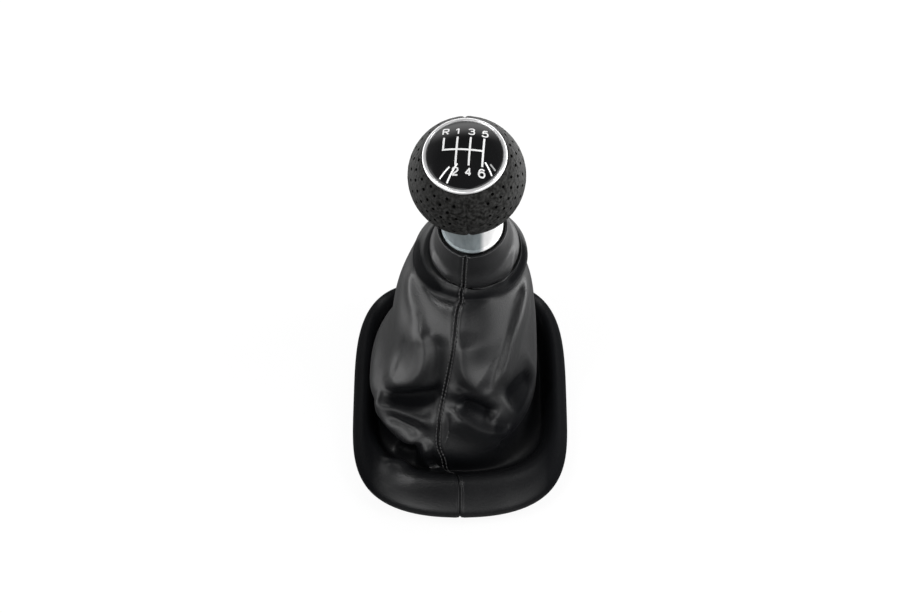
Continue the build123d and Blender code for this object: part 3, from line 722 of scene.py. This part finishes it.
# ball: two leather halves, perforated at the sides
ballSize = {"radius": 26.0, "thickness": 1.4, "top": 18.0, "bottom": -21.8, "columns": 160, "rows": 90,
            "crowding": 0.8, "dip": 0.6, "dipReach": 0.6, "ease": 0.16, "pillow": 0.12, "pillowAt": 2.2,
            "pillowReach": 1.4}
holeSize = {"radius": 0.7, "depth": 0.5, "lift": 0.03, "sides": 14,
            "acrossStep": 16.2, "upStep": 15.4, "lattice": 40, "lowest": -48.0, "highest": 40.5,  # degrees
            "turn": {-1: 11.0, 1: -5.0}, "start": {-1: (-48.1, 40.1), 1: (49.7, 35.1)},
            "fromSeam": {-1: 9.0, 1: 19.0}, "fromRear": 12.0}


def ballPanel(side):
    b = ballSize
    lon = math.pi * crowdedShares(b["columns"], b["crowding"])
    low, high = (math.asin(b[k] / b["radius"]) for k in ("bottom", "top"))
    rows = []
    for lat in np.linspace(low, high, b["rows"]):
        away = np.minimum(lon, math.pi - lon) * b["radius"] * math.cos(lat)
        ease = np.clip(min(lat - low, high - lat) / b["ease"], 0, 1)  # seam closes at both edges
        radius = b["radius"] - b["dip"] * ease * bell(away, b["dipReach"])
        radius += b["pillow"] * bell(away - b["pillowAt"], b["pillowReach"])
        flat = radius * math.cos(lat)
        rows.append(np.stack((side * flat * np.sin(lon), -flat * np.cos(lon), radius * math.sin(lat)), -1))
    points = onKnob(np.stack(rows))
    return points, gridNormals(points, side)


def holePoints(side):  # slanted square lattice over one half
    h = holeSize
    turn = math.radians(h["turn"][side])
    lattice = range(-h["lattice"], h["lattice"] + 1)
    spots = []
    for i in lattice:
        for j in lattice:
            a, b = (i + j) * h["acrossStep"] / 2, (i - j) * h["upStep"] / 2
            lon = h["start"][side][0] + a * math.cos(turn) - b * math.sin(turn)
            lat = h["start"][side][1] + a * math.sin(turn) + b * math.cos(turn)
            if h["lowest"] < lat < h["highest"] and h["fromSeam"][side] < side * lon < 180 - h["fromRear"]:
                spots.append((lon, lat))
    lon, lat = np.radians(np.array(spots)).T
    out = np.stack((np.sin(lon) * np.cos(lat), -np.cos(lon) * np.cos(lat), np.sin(lat)), -1)
    return onKnob(out * (ballSize["radius"] + h["lift"] - h["depth"] / 2)), onKnob(out) - knobCentre


def holeTree():
    inputs = {"Spots": "Geometry", "Radius": "Float", "Depth": "Float", "Finish": "Material"}
    tree, start, end = nodeGroup("ballHoles", inputs, "Holes")
    spots = addNode(tree, "GeometryNodeMeshToPoints", {"Mesh": start["Spots"]}).outputs["Points"]
    turn = addNode(tree, "FunctionNodeAlignRotationToVector", {"Vector": outwardNode(tree)}, axis="Z")
    sizes = {"Vertices": holeSize["sides"], "Radius": start["Radius"], "Depth": start["Depth"]}
    plug = addNode(tree, "GeometryNodeMeshCylinder", sizes).outputs["Mesh"]
    mesh = placedNode(tree, spots, plug, turn.outputs["Rotation"])
    setSockets(end, {"Holes": finishNode(tree, mesh, start["Finish"])})
    return tree


ballPieces = {}
for side, name in ((-1, "ballCoverLeft"), (1, "ballCoverRight")):
    vertices, faces, normals = closedPanel(*ballPanel(side), ballSize["thickness"], side, False, False)
    ballPieces[side] = addPiece(name, vertices, faces, ballLeather, normals)
# each perforation is a dark plug on the leather: painted shade stands for the hole's depth
holeValues = {"Radius": holeSize["radius"] * mm, "Depth": holeSize["depth"] * mm,
              "Finish": finish["holeShade"]}
holeSpots = [holePoints(side) for side in (-1, 1)]
holePiece = nodesToMesh("ballPerforations", holeSpots, holeTree(), holeValues, False)
print("stage: ball,", len(holePiece.data.polygons) // (holeSize["sides"] + 2), "holes")

capSize = {"dome": 32.0, "radius": 16.55, "rim": 19.3, "seat": 18.9, "wall": 1.6, "skirt": 15.5,
           "skirtLow": 16.15, "pole": 0.001, "cuts": 40, "innerCuts": 16}
capCentre = capSize["rim"] - math.sqrt(capSize["dome"] ** 2 - capSize["radius"] ** 2)


def capProfile():
    c = capSize
    edge = math.degrees(math.asin((c["rim"] - capCentre) / c["dome"]))
    inside, innerRadius = c["dome"] - c["wall"], c["skirt"] - c["wall"]
    innerEdge = math.degrees(math.acos(innerRadius / inside))
    profile = arcPoints((0.0, capCentre), c["dome"], 90, edge, c["cuts"])
    profile += [(c["radius"], c["seat"]), (c["skirt"], c["seat"]), (c["skirt"], c["skirtLow"]),
                (innerRadius, c["skirtLow"])]
    profile += arcPoints((0.0, capCentre), inside, innerEdge, 90, c["innerCuts"])
    return [(max(r, c["pole"]), z) for r, z in profile]


bezelSize = {"outer": 18.45, "inner": 16.7, "seat": 18.15, "top": 19.65, "bevel": 0.35, "crown": 17.2,
             "foot": 0.2, "skirtOuter": 16.55, "skirtInner": 15.65, "ledge": 18.75, "low": 13.8,
             "cuts": 12}


def bezelProfile():  # narrow bevel inside, one rounded slope outside
    b = bezelSize
    profile = [(b["skirtInner"], b["low"]), (b["skirtOuter"], b["low"]), (b["skirtOuter"], b["seat"]),
               (b["outer"], b["seat"])]
    wide, tall = b["outer"] - b["crown"], b["top"] - b["seat"] - b["foot"]
    for angle in np.radians(np.linspace(0, 90, b["cuts"])):
        profile.append((b["crown"] + wide * math.cos(angle), b["top"] - tall * (1 - math.sin(angle))))
    profile += [(b["inner"], b["top"] - b["bevel"]), (b["inner"], b["ledge"]), (b["skirtInner"], b["ledge"])]
    return profile


capPiece = turnedPiece("capDome", capProfile()[::-1], finish["capLacquer"])
bezelPiece = turnedPiece("bezelRing", bezelProfile(), finish["bezelChrome"])

printSize = {"turn": -5.0, "line": 0.84, "lift": 0.03, "stack": 0.002, "lanes": 4, "lineCuts": 25,
             "strokeCuts": 9, "rounding": 3, "columns": (-9.2, -3.3, 2.4, 8.2), "top": 6.8, "bottom": -6.9,
             "bar": 0.3, "reverseShort": 0.3, "reverseAside": 0.4, "fifthDown": 0.4,
             "labelTop": 9.9, "labelBottom": -9.6, "letter": (2.5, 3.0), "stroke": 0.62}
glyphs = {  # strokes in a unit box, rounded between their ends
    "1": (((0.12, 0.74), (0.55, 1.0)), ((0.55, 1.0), (0.55, 0.0))),
    "2": (((0.06, 0.72), (0.1, 1.0), (0.9, 1.05), (0.98, 0.58), (0.5, 0.35), (0.06, 0.03)),
          ((0.06, 0.0), (0.96, 0.0))),
    "3": (((0.06, 0.86), (0.3, 1.04), (0.95, 1.0), (0.9, 0.54), (0.4, 0.54)),
          ((0.4, 0.54), (0.98, 0.56), (1.02, -0.02), (0.3, -0.04), (0.04, 0.16))),
    "4": (((0.97, 0.27), (0.04, 0.27)), ((0.04, 0.27), (0.7, 1.0)), ((0.7, 1.0), (0.7, 0.0))),
    "5": (((0.9, 1.0), (0.22, 1.0)), ((0.22, 1.0), (0.12, 0.5)),
          ((0.12, 0.5), (0.55, 0.74), (1.05, 0.5), (0.95, -0.06), (0.25, -0.04), (0.04, 0.16))),
    "6": (((0.92, 0.86), (0.6, 1.06), (0.12, 0.95), (-0.04, 0.45), (0.1, -0.04), (0.9, -0.06), (1.04, 0.46),
           (0.55, 0.72), (0.08, 0.5), (0.08, 0.32)),),
    "R": (((0.06, 0.0), (0.06, 1.0)),
          ((0.06, 1.0), (0.6, 1.0), (1.0, 0.98), (1.0, 0.5), (0.6, 0.5), (0.06, 0.5)),
          ((0.5, 0.5), (0.97, 0.0))),
}


def onDome(points, lift):  # print's own flat millimetres to the dome
    x, y = np.asarray(points, float).T
    turn = math.radians(printSize["turn"])
    u = x * math.cos(turn) - y * math.sin(turn)
    v = x * math.sin(turn) + y * math.cos(turn)
    rise = np.sqrt((capSize["dome"] + lift) ** 2 - u * u - v * v) + capCentre
    return onKnob(np.stack((u, v, rise), -1))


def ribbon(points, width):  # stroke cut fine to follow the dome
    points = np.asarray(points, float)
    run = unit(np.gradient(points, axis=0))
    aside = np.stack((-run[:, 1], run[:, 0]), -1) * width / 2
    lanes = printSize["lanes"]
    spots = np.stack([points + aside * (2 * m / lanes - 1) for m in range(lanes + 1)], 1).reshape(-1, 2)
    faces = []
    for k in range(len(points) - 1):
        for m in range(lanes):
            a = k * (lanes + 1) + m
            faces.append((a, a + lanes + 1, a + lanes + 2, a + 1))
    return spots, faces


def printLine(start, end):
    return ribbon(np.linspace(start, end, printSize["lineCuts"]), printSize["line"])


def printLabel(text, x, y):
    made = []
    for stroke in glyphs[text]:
        points = (np.array(stroke) - 0.5) * printSize["letter"] + (x, y)
        if len(points) == 2:
            points = np.linspace(points[0], points[1], printSize["strokeCuts"])
        for turn in range(printSize["rounding"] if len(stroke) > 2 else 0):  # corners cut again and again
            near, far = (points[:-1] * share + points[1:] * (1 - share) for share in (0.75, 0.25))
            inside = np.stack((near, far), 1).reshape(-1, 2)
            points = np.concatenate((points[:1], inside[1:-1], points[-1:]))
        made.append(ribbon(points, printSize["stroke"]))
    return made


def shiftPrint():
    p = printSize
    reverse, first, second, third = p["columns"]
    upper, lower = p["labelTop"], p["labelBottom"]
    labels = (("R", reverse + p["reverseAside"], upper), ("1", first, upper), ("3", second, upper),
              ("5", third, upper - p["fifthDown"]), ("2", first, lower), ("4", second, lower),
              ("6", third, lower))
    strokes = [printLine((reverse, p["top"] - p["reverseShort"]), (reverse, p["bar"] - p["line"] / 2)),
               printLine((reverse, p["bar"]), (third, p["bar"]))]
    strokes += [printLine((x, p["top"]), (x, p["bottom"])) for x in (first, second, third)]
    for label in labels:
        strokes += printLabel(*label)
    vertices, faces = [], []
    for number, (points, marks) in enumerate(strokes):
        start, count = len(vertices), len(points)
        for lift in (p["lift"] + p["stack"] * number, -p["lift"]):  # top, and foot just under the lacquer
            vertices += onDome(points, lift).tolist()
        edges = {(face[k - 1], face[k]) for face in marks for k in range(4)}
        walls = [(b, a, a + count, b + count) for a, b in sorted(edges) if (b, a) not in edges]
        foot = [tuple(i + count for i in face[::-1]) for face in marks]
        faces += [tuple(i + start for i in face) for face in marks + foot + walls]
    piece = addPiece("shiftPattern", vertices, faces, finish["printWhite"])
    piece.data.polygons.foreach_set("use_smooth", [False] * len(piece.data.polygons))
    return piece


printPiece = shiftPrint()
print("stage: cap, bezel and print")

collarSize = {"radius": 13.2, "bore": 11.2, "top": -21.95, "beadLevel": -49.0, "bead": 1.0, "beadTurn": 75,
              "beadCuts": 14, "seat": 12.4, "bottom": -60.0, "chamfer": 0.4, "aboveBead": (1.3, 14.0)}


def collarProfile():
    c = collarSize
    ease = c["chamfer"]
    profile = [(c["bore"], c["bottom"]), (c["seat"] - ease, c["bottom"]), (c["seat"], c["bottom"] + ease),
               (c["seat"], c["beadLevel"] - c["bead"])]
    turn = c["beadTurn"]
    profile += arcPoints((c["radius"], c["beadLevel"]), c["bead"], -turn, turn, c["beadCuts"])
    profile += [(c["radius"], c["beadLevel"] + above) for above in c["aboveBead"]]
    return profile + [(c["radius"], c["top"] - ease), (c["radius"] - ease, c["top"]), (c["bore"], c["top"])]


collarPiece = turnedPiece("neckCollar", collarProfile(), finish["collarAluminium"])
print("stage: collar")

nodeFinish = {"base_frame": "framePlastic", "knob_core": "corePlastic", "lever_socket": "socketPlastic",
              "lever_clamp": "clampSteel", "gaiter_tie": "corePlastic"}  # CAD nodes that stay
for node, name in nodeFinish.items():
    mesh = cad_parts[node].data
    mesh.materials.clear()
    mesh.materials.append(finish[name])

for piece, node, slot in ((capPiece, "pattern_cap", "cap_black"), (bezelPiece, "bezel_ring", "bezel_chrome"),
                          (ballPieces[-1], "knob_cover_left", "knob_leather"),
                          (ballPieces[1], "knob_cover_right", "knob_leather"),
                          (collarPiece, "neck_collar", "collar_aluminium")):
    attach(piece, "knob")
    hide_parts(node)
for piece, slot in ((printPiece, "cap_black"), (holePiece, "knob_leather")):
    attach(piece, "knob")


def flatSize(low, high):  # both panels laid flat side by side: width, length and area in metres
    width, length, area = 0.0, 0.0, 0.0
    for points, normals in gaiterSkins.values():
        part = points[low:high + 1] * mm
        across, along = np.diff(part, axis=1), np.diff(part, axis=0)
        width += np.linalg.norm(across, axis=-1).sum(1).max()
        length = max(length, np.linalg.norm(along, axis=-1).sum(0).max())
        area += np.linalg.norm(np.cross(across[:-1], along[:, :-1]), axis=-1).sum()
    return (float(width), float(length)), float(area)


for half, h in gaiterHalves.items():
    start, end = ((0, 0, height) for height in h["bend"])
    for piece in (gaiterPieces[half], stitchPieces[half]):
        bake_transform(piece)
    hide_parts("gaiter_left_panel", "gaiter_right_panel")
    flat, area = flatSize(*h["rows"])
    print("stage:", gaiterPieces[half].name, "cut", flat, area)
print("stage: bodies")

studio = {"floorHalf": 3.0, "floorColour": 0.9, "floorRoughness": 0.9, "floorSpecular": 0.1,
          "paperSpread": 0.01, "paperScale": 40.0, "floorWhite": 1.06,
          "glowShare": 0.85, "patchStretch": (1.0, 0.5, 1.0),  # painted shadow patch round the object, seen in reflections, is twice as long as wide
          "nearRadius": 0.16, "farRadius": 0.30, "nearGlow": 0.03,
          "across": (-0.05, 0.05), "leftGlow": 3.2, "rightGlow": 5.0,
          "ahead": (-0.16, 0.0), "frontGlow": 0.12, "fill": 0.30,
          "sky": (0.1, 0.7), "horizon": 0.25, "ceiling": 0.08,
          "lobes": (  # soft light seen in reflections: strength, then ramps along the axes of the view
              (1.1, (("Y", 0.6, 0.95), ("Z", 0.1, 0.36), ("Z", 0.9, 0.5))),
              (2.7, (("X", 0.06, -0.2), ("Y", 0.2, -0.1), ("Z", 0.6, 0.3))),
              (2.4, (("X", 0.12, 0.48), ("Y", 0.2, -0.1), ("Z", 0.62, 0.32))),
              (1.6, (("X", -0.3, -0.6), ("Y", -0.1, 0.2), ("Z", 0.3, 0.05))),
              (1.6, (("X", 0.3, 0.6), ("Y", -0.1, 0.2), ("Z", 0.3, 0.05)))),
          "aim": (0.0, 0.0, 0.09),
          "panels": (  # place, size across and up, watts
              ((-1.25, -0.75, 0.28), (1.0, 0.6), 1.5),
              ((1.35, -0.20, 0.30), (1.0, 0.6), 15.0),
              ((0.0, 1.25, 0.95), (1.7, 0.6), 7.5)),
          "stripFrom": (0.002, 0.002, 0.195), "stripAway": 1.2,
          "strips": (  # directions from the cap to both ends, width, watts
              ((-0.712, -0.346, 0.611), (-0.476, -0.145, 0.867), 0.045, 1.6),
              ((-0.551, -0.517, 0.655), (-0.28, -0.10, 0.955), 0.05, 2.4),
              ((0.44, -0.03, 0.897), (0.617, -0.327, 0.716), 0.045, 1.6),
              ((0.564, -0.046, 0.825), (0.687, -0.166, 0.707), 0.05, 0.3))}


def addFloor():
    s = studio
    half = s["floorHalf"]
    mesh = bpy.data.meshes.new("floor")
    corners = [(-half, -half, 0), (half, -half, 0), (half, half, 0), (-half, half, 0)]
    mesh.from_pydata(corners, [], [(0, 1, 2, 3)])
    material, tree, shader = newMaterial("floorPaper")
    paper = noiseNode(tree, objectVector(tree), s["paperScale"])
    tones = [(s["floorColour"] + step,) * 3 for step in (-s["paperSpread"], s["paperSpread"])]
    colour = mixColour(tree, paper, *tones)
    setSockets(shader, {"Base Color": colour, "Roughness": s["floorRoughness"],
                        "Specular IOR Level": s["floorSpecular"]})
    # reflections see the floor glow: a painted shadow round the object, brighter left and right, dimmer in
    # front
    path = addNode(tree, "ShaderNodeLightPath").outputs
    place = addNode(tree, "ShaderNodeSeparateXYZ", {0: objectVector(tree)}).outputs
    patch = objectVector(tree, s["patchStretch"])
    radius = addNode(tree, "ShaderNodeVectorMath", {0: patch}, operation="LENGTH").outputs["Value"]
    around = rangeNode(tree, radius, s["nearRadius"], s["farRadius"], s["nearGlow"], 1.0, "SMOOTHSTEP")
    across = rangeNode(tree, place["X"], *s["across"], s["leftGlow"], s["rightGlow"])
    ahead = rangeNode(tree, place["Y"], *s["ahead"], s["frontGlow"], 1.0)
    tone = mathNode(tree, "MULTIPLY", mathNode(tree, "MULTIPLY", around, across), ahead)
    strength = mixValue(tree, path["Is Camera Ray"], tone, s["floorWhite"])
    glow = addNode(tree, "ShaderNodeEmission", {"Color": (1, 1, 1, 1), "Strength": strength}).outputs[0]
    seen = mathNode(tree, "MAXIMUM", path["Is Camera Ray"], path["Is Glossy Ray"])
    share = mathNode(tree, "MULTIPLY", seen, s["glowShare"])
    mix = addNode(tree, "ShaderNodeMixShader", {0: share, 1: shader.outputs[0], 2: glow}).outputs[0]
    setSockets(tree.nodes["Material Output"], {"Surface": mix})
    mesh.materials.append(material)
    floor = bpy.data.objects.new("floor", mesh)
    bpy.context.scene.collection.objects.link(floor)


def addWorld():
    s = studio
    world = bpy.data.worlds.new("studio")
    bpy.context.scene.world = world
    world.use_nodes = True
    tree = world.node_tree
    way = addNode(tree, "ShaderNodeTexCoord").outputs["Generated"]
    way = addNode(tree, "ShaderNodeSeparateXYZ", {0: way}).outputs
    shine = rangeNode(tree, way["Z"], *s["sky"], s["horizon"], s["ceiling"])
    for glow, ramps in s["lobes"]:
        for axis, start, end in ramps:
            ramp = rangeNode(tree, way[axis], start, end, 0.0, 1.0, "SMOOTHSTEP")
            glow = mathNode(tree, "MULTIPLY", ramp, glow)
        shine = mathNode(tree, "ADD", shine, glow)
    path = addNode(tree, "ShaderNodeLightPath").outputs
    light = mixValue(tree, path["Is Diffuse Ray"], shine, s["fill"])
    light = mixValue(tree, path["Is Camera Ray"], light, s["floorWhite"])
    setSockets(tree.nodes["Background"], {"Color": (1, 1, 1, 1), "Strength": light})


def aimed(place):  # turn that faces the object
    return (Vector(studio["aim"]) - Vector(place)).to_track_quat("-Z", "Y")


def addLamp(name, place, size, watts, spin=0.0):
    light = bpy.data.lights.new(name, "AREA")
    light.shape, light.energy = "RECTANGLE", watts
    light.size, light.size_y = size
    lamp = bpy.data.objects.new(name, light)
    turn = aimed(place).to_matrix().to_4x4() @ Matrix.Rotation(spin, 4, "Z")
    lamp.matrix_world = Matrix.Translation(place) @ turn
    bpy.context.scene.collection.objects.link(lamp)
    return lamp


def addLamps():
    for number, panel in enumerate(studio["panels"]):
        addLamp(f"panel{number}", *panel).visible_glossy = False
    for number, (start, end, width, watts) in enumerate(studio["strips"]):
        start, end = (Vector(studio["stripFrom"]) + Vector(way) * studio["stripAway"] for way in (start, end))
        middle = (start + end) / 2
        run = aimed(middle).inverted() @ (end - start)
        addLamp(f"strip{number}", middle, ((end - start).length, width), watts, math.atan2(run.y, run.x))


def addCamera():
    c = cameraView
    data = bpy.data.cameras.new("camera")
    data.lens, data.sensor_width, data.sensor_fit = c["lens"], c["sensor"], "HORIZONTAL"
    up = math.radians(c["elevation"])
    back = Vector((0, -math.cos(up), math.sin(up)))
    camera = bpy.data.objects.new("camera", data)
    camera.location = Vector(c["target"]) + back * c["distance"]
    camera.rotation_euler = (-back).to_track_quat("-Z", "Y").to_euler()
    bpy.context.scene.collection.objects.link(camera)
    bpy.context.scene.camera = camera


addFloor()
addWorld()
addLamps()
addCamera()
bpy.context.scene.view_settings.view_transform = "Standard"
print("stage: studio")
